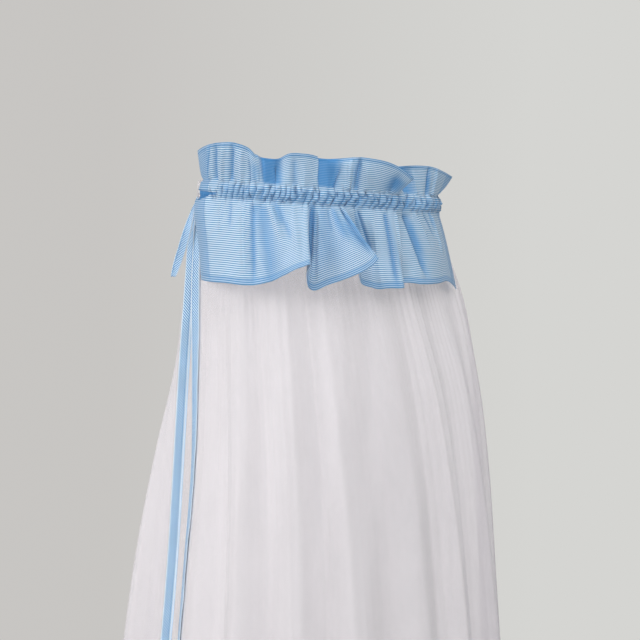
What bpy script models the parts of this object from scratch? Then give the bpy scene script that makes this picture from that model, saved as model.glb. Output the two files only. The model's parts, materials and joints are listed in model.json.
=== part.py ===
"""Mosquito net canopy on a hoop: a sheer net gathered over a flat hoop and open down one side, a striped
header frill round its front half, bound front edges and a tie.

Metres, +Z up. The front faces -Y and the opening faces -X. The origin is on the back of the hoop.
"""

import math
from collections import namedtuple

import bmesh
import bpy
import numpy as np

# The hoop: a flat bent strip, a little lower on its right.
HOOP_RADIUS = 0.1405
HOOP_THICKNESS = 0.0025
HOOP_HEIGHT = 0.012
HOOP_STEPS = 96
HOOP_TILT = math.radians(4.0)
HOOP_CENTRE = (0.0, -HOOP_RADIUS, 0.0)

# Cloth thicknesses, and the gap that pieces keep where they touch.
NET_THICKNESS = 0.001
HEADER_THICKNESS = 0.0012
TAPE_THICKNESS = 0.001
SEAT_GAP = 0.0003

# How far the net's casing reaches outside the hoop and below its middle line.
CASING_OUT = 0.1432
CASING_STITCH = 0.0098

# The net's top hem, turned over the hoop: its fold lines, from the stitched edge inside to the outside.
Hem = namedtuple("Hem", "radius height")
CASING_ROWS = (
    Hem(CASING_OUT - 0.0013, -CASING_STITCH),
    Hem(0.1395, -0.0088),
    Hem(0.1378, -0.0066),
    Hem(0.1378, 0.0046),
    Hem(0.1383, 0.0066),
    Hem(HOOP_RADIUS, 0.0075),
    Hem(0.1427, 0.0066),
    Hem(CASING_OUT, 0.0040),
)

# The net below the hoop.
NET_DROP = 1.45
NET_COLUMNS = 92
OUTLINE_STEPS = 45
CURVE_STEPS = 40
TAPE_WIDTH = 0.0115
BINDING_START_NEAR = 0.028
BINDING_START_FAR = 0.015

# The header strip: it runs from its near end at the left, round the front, to just past the right.
HEADER_START = 197.0
HEADER_END = 352.0
HEADER_COLUMNS = 120
GATHER_SAMPLES = 1500
TUNNEL_HALF = 0.0085
HEADER_RADIUS = CASING_OUT + NET_THICKNESS / 2 + SEAT_GAP
TUNNEL_BULGE = 0.0024
FLARE_POWER = 0.8

# The gathers: how many degrees apart they are, how deep, and how soon they fade outside the tunnel. They
# wander along the seam, lean with height, and differ in size: by how much, how often and from where.
PUCKER_PITCH = 5.7
PUCKER_DEPTH = 0.0040
PUCKER_FADE = 0.016
Unevenness = namedtuple("Unevenness", "amount often start")
PUCKER_WANDERS = (Unevenness(0.33, 0.21, 0.0), Unevenness(0.21, 0.57, 1.3))
PUCKER_LEAN = Unevenness(26.0, 0.37, 0.0)
PUCKER_SIZES = Unevenness(0.28, 0.83, 0.5)

# Rows of the header strip: a part of the way up the frill or down the valance, from the tunnel.
FRILL_ROWS = (0.16, 0.42, 0.7, 1.0)
VALANCE_ROWS = (0.1, 0.26, 0.45, 0.64, 0.83, 1.0)

# Where the strip's free edges stand. seam: the angle where this place of the strip is gathered; edge:
# the angle where its edge stands; out: how far the edge stands off the hoop; reach: its height above or
# below the hoop's line. Angles run from +X through +Y, so the front is 270 and the right is 360.
Edge = namedtuple("Edge", "seam edge out reach")
FRILL_EDGE = (
    Edge(197, 202.0, 0.0050, 0.0430),
    Edge(205, 213.0, 0.0100, 0.0480),
    Edge(216, 225.0, 0.0130, 0.0520),
    Edge(230, 236.0, 0.0145, 0.0532),
    Edge(239, 241.8, 0.0105, 0.0490),
    Edge(245, 245.2, 0.0060, 0.0425),
    Edge(246.4, 245.0, 0.0000, 0.0405),
    Edge(247.6, 243.8, -0.0090, 0.0395),
    Edge(250, 248.0, -0.0135, 0.0385),
    Edge(253.2, 252.4, -0.0060, 0.0398),
    Edge(257, 258.0, 0.0080, 0.0450),
    Edge(262, 264.0, 0.0100, 0.0460),
    Edge(268.4, 270.2, 0.0060, 0.0445),
    Edge(270.2, 270.8, 0.0010, 0.0438),
    Edge(271.8, 270.2, -0.0100, 0.0430),
    Edge(273.8, 274.6, -0.0160, 0.0425),
    Edge(277.2, 279.6, -0.0070, 0.0436),
    Edge(282.5, 286.0, 0.0080, 0.0460),
    Edge(290, 292.0, 0.0140, 0.0460),
    Edge(297, 299.0, 0.0200, 0.0430),
    Edge(302.5, 304.0, 0.0240, 0.0370),
    Edge(307, 309.0, 0.0260, 0.0270),
    Edge(310.5, 307.0, 0.0100, 0.0330),
    Edge(314, 308.0, -0.0100, 0.0380),
    Edge(318.5, 314.0, -0.0060, 0.0410),
    Edge(324.5, 320.0, 0.0040, 0.0430),
    Edge(331.5, 328.0, 0.0090, 0.0430),
    Edge(342, 337.0, 0.0140, 0.0390),
    Edge(352, 346.0, 0.0200, 0.0330),
)
VALANCE_EDGE = (
    Edge(197, 206.0, 0.0090, 0.1050),
    Edge(205, 217.0, 0.0170, 0.1050),
    Edge(225, 232.0, 0.0220, 0.1040),
    Edge(239, 245.0, 0.0256, 0.1032),
    Edge(248, 252.0, 0.0290, 0.0980),
    Edge(257, 259.0, 0.0350, 0.0880),
    Edge(263.5, 264.4, 0.0400, 0.0780),
    Edge(266.0, 266.0, 0.0410, 0.0760),
    Edge(267.3, 264.0, 0.0220, 0.0880),
    Edge(268.6, 265.0, 0.0140, 0.0980),
    Edge(270.4, 268.0, 0.0190, 0.1020),
    Edge(273.6, 275.0, 0.0290, 0.0950),
    Edge(276.4, 282.0, 0.0390, 0.0850),
    Edge(278.8, 288.0, 0.0460, 0.0730),
    Edge(280.8, 291.0, 0.0480, 0.0620),
    Edge(282.6, 287.0, 0.0260, 0.0780),
    Edge(285.2, 288.0, 0.0140, 0.0900),
    Edge(290.5, 293.0, 0.0170, 0.0970),
    Edge(299, 299.0, 0.0250, 0.0960),
    Edge(305.5, 305.0, 0.0270, 0.0940),
    Edge(308.5, 306.0, 0.0150, 0.0910),
    Edge(312, 310.0, 0.0140, 0.0900),
    Edge(320.5, 318.0, 0.0180, 0.0910),
    Edge(331, 329.0, 0.0190, 0.0900),
    Edge(341, 341.0, 0.0180, 0.0880),
    Edge(352, 355.0, 0.0230, 0.0990),
)

# The net's outline in plan at each level. front, side, right and back: how far out it hangs at the four
# outline angles; bulge: where the far panel swells out beside its edge; fold: how deep its folds are.
OUTLINE_ANGLES = (270.0, 342.0, 372.0, 450.0)
Section = namedtuple("Section", "down front side right back bulge_x bulge_y fold")
NET_SECTIONS = (
    Section(0.010, 0.1432, 0.1432, 0.1432, 0.1432, -0.1430, 0.0150, 0.0000),
    Section(0.030, 0.1436, 0.1436, 0.1480, 0.1450, -0.1475, 0.0160, 0.0005),
    Section(0.055, 0.1455, 0.1455, 0.1600, 0.1530, -0.1545, 0.0180, 0.0012),
    Section(0.105, 0.1505, 0.1505, 0.1800, 0.1660, -0.1583, 0.0200, 0.0025),
    Section(0.215, 0.1690, 0.1820, 0.1980, 0.1840, -0.1672, 0.0260, 0.0060),
    Section(0.315, 0.1830, 0.1960, 0.2060, 0.1950, -0.1870, 0.0330, 0.0090),
    Section(0.435, 0.1960, 0.2060, 0.2120, 0.2060, -0.2110, 0.0400, 0.0120),
    Section(0.800, 0.2280, 0.2320, 0.2330, 0.2340, -0.2560, 0.0500, 0.0180),
    Section(1.200, 0.2600, 0.2610, 0.2600, 0.2620, -0.2900, 0.0560, 0.0230),
    Section(1.450, 0.2780, 0.2780, 0.2760, 0.2780, -0.3060, 0.0600, 0.0250),
)

# Where the net's two front edges hang at each level, and which way the taped strip runs from each.
Edges = namedtuple("Edges", "down near_x near_y near_turn far_x far_y far_turn")
NET_EDGES = (
    Edges(0.010, -0.1392, -0.0334, -74, -0.1432, 0.0012, 95),
    Edges(0.030, -0.1408, -0.0345, -62, -0.1440, 0.0000, 110),
    Edges(0.055, -0.1432, -0.0358, -50, -0.1460, -0.0015, 128),
    Edges(0.105, -0.1463, -0.0390, -32, -0.1478, -0.0030, 154),
    Edges(0.215, -0.1455, -0.0470, -50, -0.1552, -0.0040, 170),
    Edges(0.315, -0.1458, -0.0580, -66, -0.1616, -0.0030, 173),
    Edges(0.435, -0.1544, -0.0720, -74, -0.1697, -0.0010, 175),
    Edges(0.800, -0.1840, -0.1050, -76, -0.2050, 0.0020, 175),
    Edges(1.200, -0.2160, -0.1330, -76, -0.2380, 0.0040, 175),
    Edges(1.450, -0.2350, -0.1480, -76, -0.2560, 0.0040, 175),
)

# The levels that the net's rows of points hang at.
NET_LEVELS = (
    0.010, 0.015, 0.028, 0.048, 0.068, 0.090, 0.118, 0.160, 0.215,
    0.275, 0.350, 0.450, 0.620, 0.820, 1.040, 1.250, NET_DROP,
)

# The hanging folds, in order along the net: where each crest is, its size, and the hollow after it.
Fold = namedtuple("Fold", "at crest hollow")
NET_FOLDS = (
    Fold(0.035, 0.7, 0.8),
    Fold(0.088, 1.1, 0.9),
    Fold(0.150, 0.8, 1.2),
    Fold(0.203, 1.2, 0.7),
    Fold(0.270, 1.0, 1.0),
    Fold(0.325, 0.6, 0.9),
    Fold(0.383, 1.2, 1.1),
    Fold(0.447, 0.9, 0.6),
    Fold(0.498, 1.1, 1.0),
    Fold(0.560, 0.8, 1.2),
    Fold(0.618, 1.2, 0.8),
    Fold(0.672, 0.7, 1.0),
    Fold(0.735, 1.1, 0.9),
    Fold(0.790, 0.9, 1.1),
    Fold(0.852, 1.2, 0.7),
    Fold(0.905, 0.8, 1.0),
    Fold(0.958, 1.0, 0.6),
)

# The tie's tail: how far down, across and back its middle line lies, which way it faces, and its width.
Tail = namedtuple("Tail", "down across depth turn width")
TIE_ROWS = (
    Tail(0.003, -0.1400, -0.0359, 14, 0.0100),
    Tail(0.012, -0.1402, -0.0360, 14, 0.0100),
    Tail(0.026, -0.1452, -0.0376, 26, 0.0100),
    Tail(0.042, -0.1500, -0.0382, 52, 0.0100),
    Tail(0.058, -0.1547, -0.0385, 76, 0.0100),
    Tail(0.074, -0.1594, -0.0385, 86, 0.0100),
    Tail(0.090, -0.1644, -0.0380, 80, 0.0096),
    Tail(0.106, -0.1694, -0.0372, 72, 0.0066),
)

# Linear colour, roughness and metallic value of each material.
HOOP_LOOK = ((0.86, 0.86, 0.84, 1.0), 0.45, 0.0)
NET_LOOK = ((0.90, 0.89, 0.93, 1.0), 0.90, 0.0)
HEADER_LOOK = ((0.42, 0.60, 0.82, 1.0), 0.85, 0.0)
TAPE_LOOK = ((0.35, 0.55, 0.80, 1.0), 0.85, 0.0)


def clear_scene():
    for thing in list(bpy.data.objects):
        bpy.data.objects.remove(thing, do_unlink=True)


def make_material(name, look):
    colour, roughness, metallic = look
    material = bpy.data.materials.new(name)
    material.use_nodes = True
    shader = material.node_tree.nodes["Principled BSDF"]
    shader.inputs["Base Color"].default_value = colour
    shader.inputs["Roughness"].default_value = roughness
    shader.inputs["Metallic"].default_value = metallic
    return material


def through(keys, values, wanted):
    """A smooth curve through a table's rows, read at the wanted places."""
    keys = np.asarray(keys, float)
    values = np.asarray(values, float)
    slopes = np.gradient(values, keys)
    right = np.clip(np.searchsorted(keys, wanted, side="right"), 1, len(keys) - 1)
    left = right - 1
    span = keys[right] - keys[left]
    part = (wanted - keys[left]) / span
    rest = 1.0 - part
    return (
        values[left] * (1.0 + 2.0 * part) * rest**2
        + slopes[left] * span * part * rest**2
        + values[right] * part**2 * (3.0 - 2.0 * part)
        - slopes[right] * span * part**2 * rest
    )


def column_of(rows, name):
    return [getattr(row, name) for row in rows]


def on_hoop(across, depth, height, tilted=1.0):
    """A place beside the hoop, in the part's frame. The hoop and what is sewn round it tilt together,
    and cloth that stands above or hangs below is only carried up or down by it."""
    tilt = HOOP_TILT * tilted
    near_hoop = max(-CASING_STITCH, min(CASING_STITCH, height))
    return (
        HOOP_CENTRE[0] + across * math.cos(tilt) + near_hoop * math.sin(tilt),
        HOOP_CENTRE[1] + depth,
        HOOP_CENTRE[2] - across * math.sin(tilt) + near_hoop * math.cos(tilt) + height - near_hoop,
    )


def around(angle, radius):
    return radius * math.cos(math.radians(angle)), radius * math.sin(math.radians(angle))


def sheet(name, places, thickness, offset, material, collection):
    """A grid of cloth with its points at the given places, a row of columns at a time, made solid."""
    rows = len(places)
    columns = len(places[0])
    bpy.ops.mesh.primitive_grid_add(x_subdivisions=columns - 1, y_subdivisions=rows - 1, size=2.0)
    cloth = bpy.context.active_object
    cloth.name = name
    cloth.data.name = name
    for point in cloth.data.vertices:
        column = round((point.co.x + 1.0) / 2.0 * (columns - 1))
        row = round((point.co.y + 1.0) / 2.0 * (rows - 1))
        point.co = places[row][column]
    lay_diagonals(cloth.data)
    cloth.data.shade_smooth()
    cloth.data.materials.append(material)
    body = cloth.modifiers.new("cloth thickness", "SOLIDIFY")
    body.thickness = thickness
    body.offset = offset
    body.use_even_offset = False
    keep_in(cloth, collection)
    return cloth


def lay_diagonals(mesh):
    """Splits each square of cloth along its shorter diagonal, so that neighbours bend alike."""
    work = bmesh.new()
    work.from_mesh(mesh)
    bmesh.ops.triangulate(work, faces=work.faces, quad_method="SHORT_EDGE")
    work.to_mesh(mesh)
    work.free()


def keep_in(thing, collection):
    for other in list(thing.users_collection):
        other.objects.unlink(thing)
    collection.objects.link(thing)


def make_hoop(collection):
    inner = HOOP_RADIUS - HOOP_THICKNESS / 2
    outer = HOOP_RADIUS + HOOP_THICKNESS / 2
    half = HOOP_HEIGHT / 2
    corners = ((outer, half), (outer, -half), (inner, -half), (inner, half))
    profile = bpy.data.meshes.new("hoop")
    points = [(radius, 0.0, height) for radius, height in corners]
    profile.from_pydata(points, [(0, 1), (1, 2), (2, 3), (3, 0)], [])
    hoop = bpy.data.objects.new("hoop", profile)
    hoop.location = HOOP_CENTRE
    hoop.rotation_euler = (0.0, HOOP_TILT, 0.0)
    turn = hoop.modifiers.new("turn", "SCREW")
    turn.steps = HOOP_STEPS
    turn.render_steps = HOOP_STEPS
    turn.use_merge_vertices = True
    turn.merge_threshold = 0.00005
    turn.use_smooth_shade = False
    profile.materials.append(make_material("hoop", HOOP_LOOK))
    collection.objects.link(hoop)
    return hoop


def uneven(seam, way):
    return way.amount * math.sin(seam * way.often + way.start)


def pucker(seam, height):
    """How far the gathers stand out here, deepest at the stitch lines and fading away from them."""
    wander = sum(uneven(seam, way) for way in PUCKER_WANDERS) + height * uneven(seam, PUCKER_LEAN)
    size = 1.0 - PUCKER_SIZES.amount + uneven(seam, PUCKER_SIZES)
    wave = 0.5 - 0.5 * math.cos(2.0 * math.pi * (seam / PUCKER_PITCH + wander))
    away = max(0.0, abs(height) - TUNNEL_HALF)
    return PUCKER_DEPTH * size * wave * math.exp(-away / PUCKER_FADE)


def free_edge_place(seam, part, edge, out, reach, sign):
    """A place on the frill (sign 1) or the valance (sign -1), a part of the way to its free edge."""
    height = sign * (TUNNEL_HALF + (reach - TUNNEL_HALF) * part)
    angle = seam + (edge - seam) * part
    radius = HEADER_RADIUS + out * part**FLARE_POWER + pucker(seam, height)
    return on_hoop(*around(angle, radius), height)


def tunnel_place(seam, part):
    height = TUNNEL_HALF * part
    radius = HEADER_RADIUS + TUNNEL_BULGE * (1.0 - part**2) + pucker(seam, height)
    return on_hoop(*around(seam, radius), height)


def gathered_seams():
    """Where the strip's columns are gathered to: closer together where an edge has more folds."""
    seams = np.linspace(HEADER_START, HEADER_END, GATHER_SAMPLES)
    steps = np.full(GATHER_SAMPLES - 1, math.radians(seams[1] - seams[0]) * HEADER_RADIUS)
    for table in (FRILL_EDGE, VALANCE_EDGE):
        keys = column_of(table, "seam")
        edge, out, reach = (through(keys, column_of(table, name), seams) for name in ("edge", "out", "reach"))
        radius = HEADER_RADIUS + out
        turn = np.radians(edge)
        line = np.column_stack((radius * np.cos(turn), radius * np.sin(turn), reach))
        steps = np.maximum(steps, np.linalg.norm(np.diff(line, axis=0), axis=1))
    run = np.concatenate(([0.0], np.cumsum(steps)))
    return np.interp(np.linspace(0.0, run[-1], HEADER_COLUMNS + 1), run, seams)


def make_header(collection):
    seams = gathered_seams()
    edges = {}
    for sign, table in ((1, FRILL_EDGE), (-1, VALANCE_EDGE)):
        keys = column_of(table, "seam")
        edges[sign] = [through(keys, column_of(table, name), seams) for name in ("edge", "out", "reach")]
    places = []
    for part in reversed(VALANCE_ROWS):
        places.append([free_edge_place(seam, part, *row, -1) for seam, *row in zip(seams, *edges[-1])])
    for part in (-1.0, 0.0, 1.0):
        places.append([tunnel_place(seam, part) for seam in seams])
    for part in FRILL_ROWS:
        places.append([free_edge_place(seam, part, *row, 1) for seam, *row in zip(seams, *edges[1])])
    material = make_material("striped_cotton", HEADER_LOOK)
    return sheet("header_frill", places, HEADER_THICKNESS, 1.0, material, collection)


def level_of(table, down):
    """The table's columns at this level, as one row."""
    keys = column_of(table, "down")
    kind = type(table[0])
    return kind(*[float(through(keys, column_of(table, name), down)) for name in kind._fields])


def heading(turn):
    """The direction in plan at this turn from +X."""
    return np.array((math.cos(math.radians(turn)), math.sin(math.radians(turn))))


def net_corners(down):
    """The net's outline in plan, from behind its near tape round the front, right and back."""
    section = level_of(NET_SECTIONS, down)
    edges = level_of(NET_EDGES, down)
    near = np.array((edges.near_x, edges.near_y))
    far = np.array((edges.far_x, edges.far_y))
    first = near + TAPE_WIDTH * heading(edges.near_turn)
    last = far + TAPE_WIDTH * heading(edges.far_turn)
    start = 360.0 + math.degrees(math.atan2(first[1], first[0]))
    end = 360.0 + math.degrees(math.atan2(section.bulge_y, section.bulge_x))
    angles = (start, *OUTLINE_ANGLES, end)
    bulge = math.hypot(section.bulge_x, section.bulge_y)
    radii = (np.hypot(*first), section.front, section.side, section.right, section.back, bulge)
    steps = np.linspace(start, end, OUTLINE_STEPS)[1:]
    middle = [around(angle, float(through(angles, radii, angle))) for angle in steps]
    return near, first, middle, last, far


def curve_through(corners, count):
    """Evenly spaced places along a smooth line through the corners, ends included."""
    corners = np.array(corners)
    lengths = np.concatenate(([0.0], np.cumsum(np.hypot(*np.diff(corners, axis=0).T))))
    fine = np.linspace(0.0, lengths[-1], CURVE_STEPS * len(corners))
    line = np.stack([through(lengths, corners[:, axis], fine) for axis in (0, 1)], axis=1)
    travelled = np.concatenate(([0.0], np.cumsum(np.hypot(*np.diff(line, axis=0).T))))
    wanted = np.linspace(0.0, travelled[-1], count)
    return np.stack([np.interp(wanted, travelled, line[:, axis]) for axis in (0, 1)], axis=1)


def fold_wave(part):
    """The fold's height from -1 to 1 or so at this part of the net's width, level at both tapes."""
    keys = [0.0]
    heights = [0.0]
    for fold, after in zip(NET_FOLDS, NET_FOLDS[1:] + (None,)):
        keys.append(fold.at)
        heights.append(fold.crest)
        if after:
            keys.append((fold.at + after.at) / 2)
            heights.append(-fold.hollow)
    return through(keys + [1.0], heights + [0.0], part)


def net_line(down):
    """The net's places in plan at this level, one for each column."""
    near, first, middle, last, far = net_corners(down)
    line = curve_through([first, *middle, last], NET_COLUMNS - 1)
    along = np.gradient(line, axis=0)
    along /= np.hypot(*along.T)[:, None]
    outward = np.stack((along[:, 1], -along[:, 0]), axis=1)
    depth = level_of(NET_SECTIONS, down).fold
    line = line + outward * (depth * fold_wave(np.linspace(0.0, 1.0, NET_COLUMNS - 1)))[:, None]
    return np.concatenate(([near], line, [far]))


def ring_line(radius):
    """The net's places in plan where it is gathered round the hoop."""
    line = net_line(NET_LEVELS[0])
    return line / np.hypot(*line.T)[:, None] * radius


def tilt_share(down):
    return 1.0 - down / NET_DROP


def make_net(collection):
    places = []
    for hem in CASING_ROWS:
        places.append([on_hoop(x, y, hem.height) for x, y in ring_line(hem.radius)])
    for down in NET_LEVELS:
        places.append([on_hoop(x, y, -down, tilt_share(down)) for x, y in net_line(down)])
    material = make_material("sheer_net", NET_LOOK)
    return sheet("net", places[::-1], NET_THICKNESS, 0.0, material, collection)


def make_binding(name, side, start, material, collection):
    """Bias tape folded over one front edge of the net, down to its hem."""
    out = NET_THICKNESS / 2 + SEAT_GAP + TAPE_THICKNESS / 2
    reach = TAPE_WIDTH - TAPE_THICKNESS
    profile = ((reach, out), (0.0, out), (-out, out / 2), (-out, -out / 2), (0.0, -out), (reach, -out))
    places = []
    for down in [level for level in NET_LEVELS if level >= start]:
        line = net_line(down)
        edge, beside = (line[0], line[1]) if side == "near" else (line[-1], line[-2])
        along = (beside - edge) / np.hypot(*(beside - edge))
        across = np.array((along[1], -along[0]))
        ring = [edge + along * step + across * lift for step, lift in profile]
        places.append([on_hoop(x, y, -down, tilt_share(down)) for x, y in ring])
    if side == "far":
        places = [row[::-1] for row in places]
    return sheet(name, places, TAPE_THICKNESS, 0.0, material, collection)


def make_tie(material, collection):
    places = []
    for row in TIE_ROWS:
        width = heading(row.turn - 90.0) * row.width / 2
        middle = np.array((row.across, row.depth))
        places.append([on_hoop(*(middle + width * side), -row.down) for side in (-1.0, 0.0, 1.0)])
    return sheet("tie", places, TAPE_THICKNESS, 0.0, material, collection)


def main():
    clear_scene()
    canopy = bpy.data.collections.new("mosquito net canopy")
    bpy.context.scene.collection.children.link(canopy)
    make_hoop(canopy)
    make_header(canopy)
    make_net(canopy)
    tape = make_material("striped_tape", TAPE_LOOK)
    make_binding("binding_near", "near", BINDING_START_NEAR, tape, canopy)
    make_binding("binding_far", "far", BINDING_START_FAR, tape, canopy)
    make_tie(tape, canopy)


main()
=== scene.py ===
"""Looks of a mosquito net canopy: sheer net gathered on a hoop, striped frilled header, taped edges, tie."""

import json
import math
from collections import namedtuple

import bpy
import numpy as np
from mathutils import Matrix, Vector

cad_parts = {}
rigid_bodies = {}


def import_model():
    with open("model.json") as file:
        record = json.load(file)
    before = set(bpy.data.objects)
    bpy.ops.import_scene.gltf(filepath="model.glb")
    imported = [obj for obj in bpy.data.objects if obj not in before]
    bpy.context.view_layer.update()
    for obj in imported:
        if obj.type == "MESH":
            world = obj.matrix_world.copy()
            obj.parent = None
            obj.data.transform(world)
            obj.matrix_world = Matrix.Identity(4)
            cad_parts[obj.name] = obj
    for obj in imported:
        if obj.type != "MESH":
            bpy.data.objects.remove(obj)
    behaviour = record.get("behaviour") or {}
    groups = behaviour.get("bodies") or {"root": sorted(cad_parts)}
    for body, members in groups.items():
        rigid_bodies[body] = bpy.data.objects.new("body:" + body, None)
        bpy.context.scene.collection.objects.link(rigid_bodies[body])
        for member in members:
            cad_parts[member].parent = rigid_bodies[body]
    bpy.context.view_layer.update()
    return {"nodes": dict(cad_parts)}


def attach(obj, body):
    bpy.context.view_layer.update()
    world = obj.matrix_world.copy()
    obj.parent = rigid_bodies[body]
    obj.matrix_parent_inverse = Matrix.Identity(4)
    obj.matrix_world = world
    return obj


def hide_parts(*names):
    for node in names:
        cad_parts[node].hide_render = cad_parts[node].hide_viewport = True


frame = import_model()


def rows_of(fields, *rows, defaults=()):
    """A table whose rows name their values."""
    kind = namedtuple("Row", fields, defaults=defaults)
    return tuple(kind(*row) for row in rows)


# The hoop, its tilt, and the casing that the net makes over it, as in the part.
HOOP_RADIUS = 0.1405
HOOP_TILT = math.radians(4.0)
HOOP_CENTRE = np.array((0.0, -HOOP_RADIUS, 0.0))
CASING_STITCH = 0.0098

# The net as it was cut: how wide before it was gathered, and how long with its casing.
NET_WIDTH = 2.2
NET_LENGTH = 1.53
NET_DROP = 1.45
NET_COLUMNS = 560
NET_THICKNESS = 0.0004
NET_HEM = 0.021
OUTLINE_STEPS = 45
OUTLINE_SAMPLES = 900
TAPE_WIDTH = 0.0115

# The header strip as it was cut: its length, and its height in frill, tunnel and valance.
HEADER_LENGTH = 0.55
FRILL_CUT = 0.0445
TUNNEL_HALF = 0.0085
VALANCE_CUT = 0.0965
STRIP_HEM = -TUNNEL_HALF - VALANCE_CUT
STRIP_TOP = TUNNEL_HALF + FRILL_CUT
STRIP_ROWS = (6, 20, 15, 18, 10, 10, 5)
HEADER_START = 197.0
HEADER_END = 352.0
HEADER_COLUMNS = 540
HEADER_RADIUS = 0.1446
HEADER_THICKNESS = 0.0007
TUNNEL_BULGE = 0.0016
FLARE_POWER = 0.8
HEM_WIDTH = 0.0065
NEAR_HEM = 0.04
SIDE_HEM = 0.02
FRILL_HEM = 0.0035

# Where the strip's free edges stand. seam: the angle where this place of the strip is gathered; edge:
# the angle where its edge stands; out: how far the edge stands off the hoop; reach: its height.
FRILL_EDGE = rows_of(
    "seam edge out reach",
    (197, 202, 0.005, 0.043), (205, 213, 0.01, 0.048), (214, 222, 0.013, 0.0518),
    (231, 236.5, 0.0145, 0.0522), (237.6, 240.2, 0.0108, 0.0485), (243, 243, 0.0062, 0.0414),
    (244.4, 242.8, 0, 0.0405), (245.8, 241.8, -0.009, 0.0395), (249, 247, -0.0135, 0.0385),
    (253.2, 252.4, -0.006, 0.0398), (257, 258, 0.008, 0.045), (262, 264, 0.01, 0.046),
    (267.4, 269, 0.006, 0.0447), (269.2, 269.6, 0.001, 0.0438), (270.8, 269, -0.01, 0.043),
    (273.8, 274.6, -0.016, 0.0425), (277.2, 279.6, -0.007, 0.0436), (282.5, 286, 0.008, 0.046),
    (290, 292, 0.014, 0.046), (297, 299, 0.02, 0.043), (302.5, 304, 0.024, 0.037),
    (307, 309, 0.026, 0.027), (310.5, 307, 0.01, 0.033), (314, 308, -0.01, 0.038),
    (318.5, 314, -0.006, 0.041), (324.5, 320, 0.004, 0.043), (331.5, 328, 0.009, 0.043),
    (342, 337, 0.014, 0.039), (352, 344.8, 0.019, 0.034),
)
VALANCE_EDGE = rows_of(
    "seam edge out reach",
    (197, 206, 0.009, 0.105), (205, 217, 0.017, 0.105), (225, 232, 0.022, 0.104),
    (239, 245, 0.0256, 0.1032), (248, 252, 0.029, 0.098), (257, 259, 0.035, 0.088),
    (263.5, 265.2, 0.04, 0.078), (265.8, 268, 0.039, 0.0755), (267.2, 266.4, 0.024, 0.086),
    (268.4, 266.6, 0.015, 0.099), (269.6, 268, 0.018, 0.103), (273.6, 275, 0.029, 0.095),
    (276.4, 282, 0.039, 0.085), (278.2, 286.6, 0.0456, 0.0762), (280, 289.8, 0.0462, 0.068),
    (281.6, 291, 0.043, 0.0625), (283.2, 287.4, 0.024, 0.078), (285.6, 288, 0.014, 0.09),
    (290.5, 293, 0.017, 0.097), (299, 299, 0.025, 0.096), (305.5, 305, 0.027, 0.094),
    (308.5, 306, 0.015, 0.091), (312, 310, 0.014, 0.09), (320.5, 318, 0.018, 0.091),
    (331, 329, 0.019, 0.09), (341, 341, 0.018, 0.088), (352, 355, 0.023, 0.099),
)

# The gathers along the tunnel: where each pinch lies, how far the cloth puffs out before the next one,
# how far the pinch bows and leans, in millimetres, and how far its crease runs up and down.
GATHERS = rows_of(
    "at puff bow lean up down",
    (192, 0.5, 0, 0, 3, 4), (203, 0.5, 0.5, 0.3, 3, 3), (212, 0.8, 0.8, 0.4, 6, 3),
    (219.9, 3.4, 1.6, -0.6, 9, 4), (223.2, 3, 2, 1.2, 4, 5), (227.2, 5.2, 3.4, 1.6, 14, 12),
    (230.6, 3.6, 1.6, 2.2, 4, 4), (233.3, 3, 1.2, 2.6, 4, 4), (235.9, 3.8, 2.6, 0.8, 5, 4),
    (239.2, 4.6, 2.6, 1.2, 12, 5), (242.6, 5, 3.2, 1.4, 9, 14), (246.2, 3.2, 1.8, 1, 5, 4),
    (248.8, 3.8, 2.2, 1.8, 4, 6), (251.4, 3, 2.8, 2, 8, 10), (253.9, 4, 2.6, 2.2, 4, 5),
    (256.5, 3.4, 3, 1.8, 5, 5), (258.6, 3.6, 2.8, 2.4, 4, 4), (261.6, 5.4, 3.6, 2, 6, 6),
    (265.6, 3.4, 2, 1.6, 4, 12), (268.2, 4.4, 2.4, 1.8, 6, 18), (271.1, 4.8, 3, 1.2, 13, 5),
    (274.6, 3.8, 2.2, 2.4, 4, 5), (277.9, 5.2, 3.4, 2, 14, 8), (281.7, 4.6, 3, 1.6, 9, 14),
    (284.4, 5.4, 3.6, 3.2, 14, 16), (288.6, 5, 3.4, 1, 10, 16), (291.9, 3.2, 2, 1.4, 4, 5),
    (295.4, 4, 2.6, 1.2, 4, 5), (298.4, 3.4, 2, 2.2, 4, 8), (301.8, 5.2, 3.6, 1.6, 7, 5),
    (304.6, 3.8, 1.8, 3, 3, 12), (308.5, 5, 2.8, 1.6, 6, 7), (313.6, 4.4, 2.6, 1.8, 6, 5),
    (319.2, 4.6, 2.2, 1.2, 5, 9), (323.8, 4, 2.4, 1.6, 4, 5), (328.4, 5.6, 3.6, 1.4, 12, 8),
    (333.4, 4, 2.2, 1.8, 4, 7), (339, 4.2, 2.4, 1.2, 7, 5), (345, 2.8, 1.2, 0.6, 4, 5),
    (355, 1.6, 0, 0, 4, 4),
)
PUFF_SPREAD = 0.095
CREASE_WIDTH = 0.0008
FULL_PUFF = 4.4
PUFF_SIZE = 0.00078
# The painted shade over the whole gathered tunnel; more is painted beside each pinch.
TUNNEL_SHADE = 0.42
PINCH_SWAY = 0.55
SWAY_PACE = (380.0, 720.0)
WRINKLES = 300
PLAIN_END = 15.0
WRINKLE_DEPTH = 0.0015
WRINKLE_REACH = 0.003
WRINKLE_LEAN = 260.0
WRINKLE_WIDTH = (0.28, 0.55)

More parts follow.
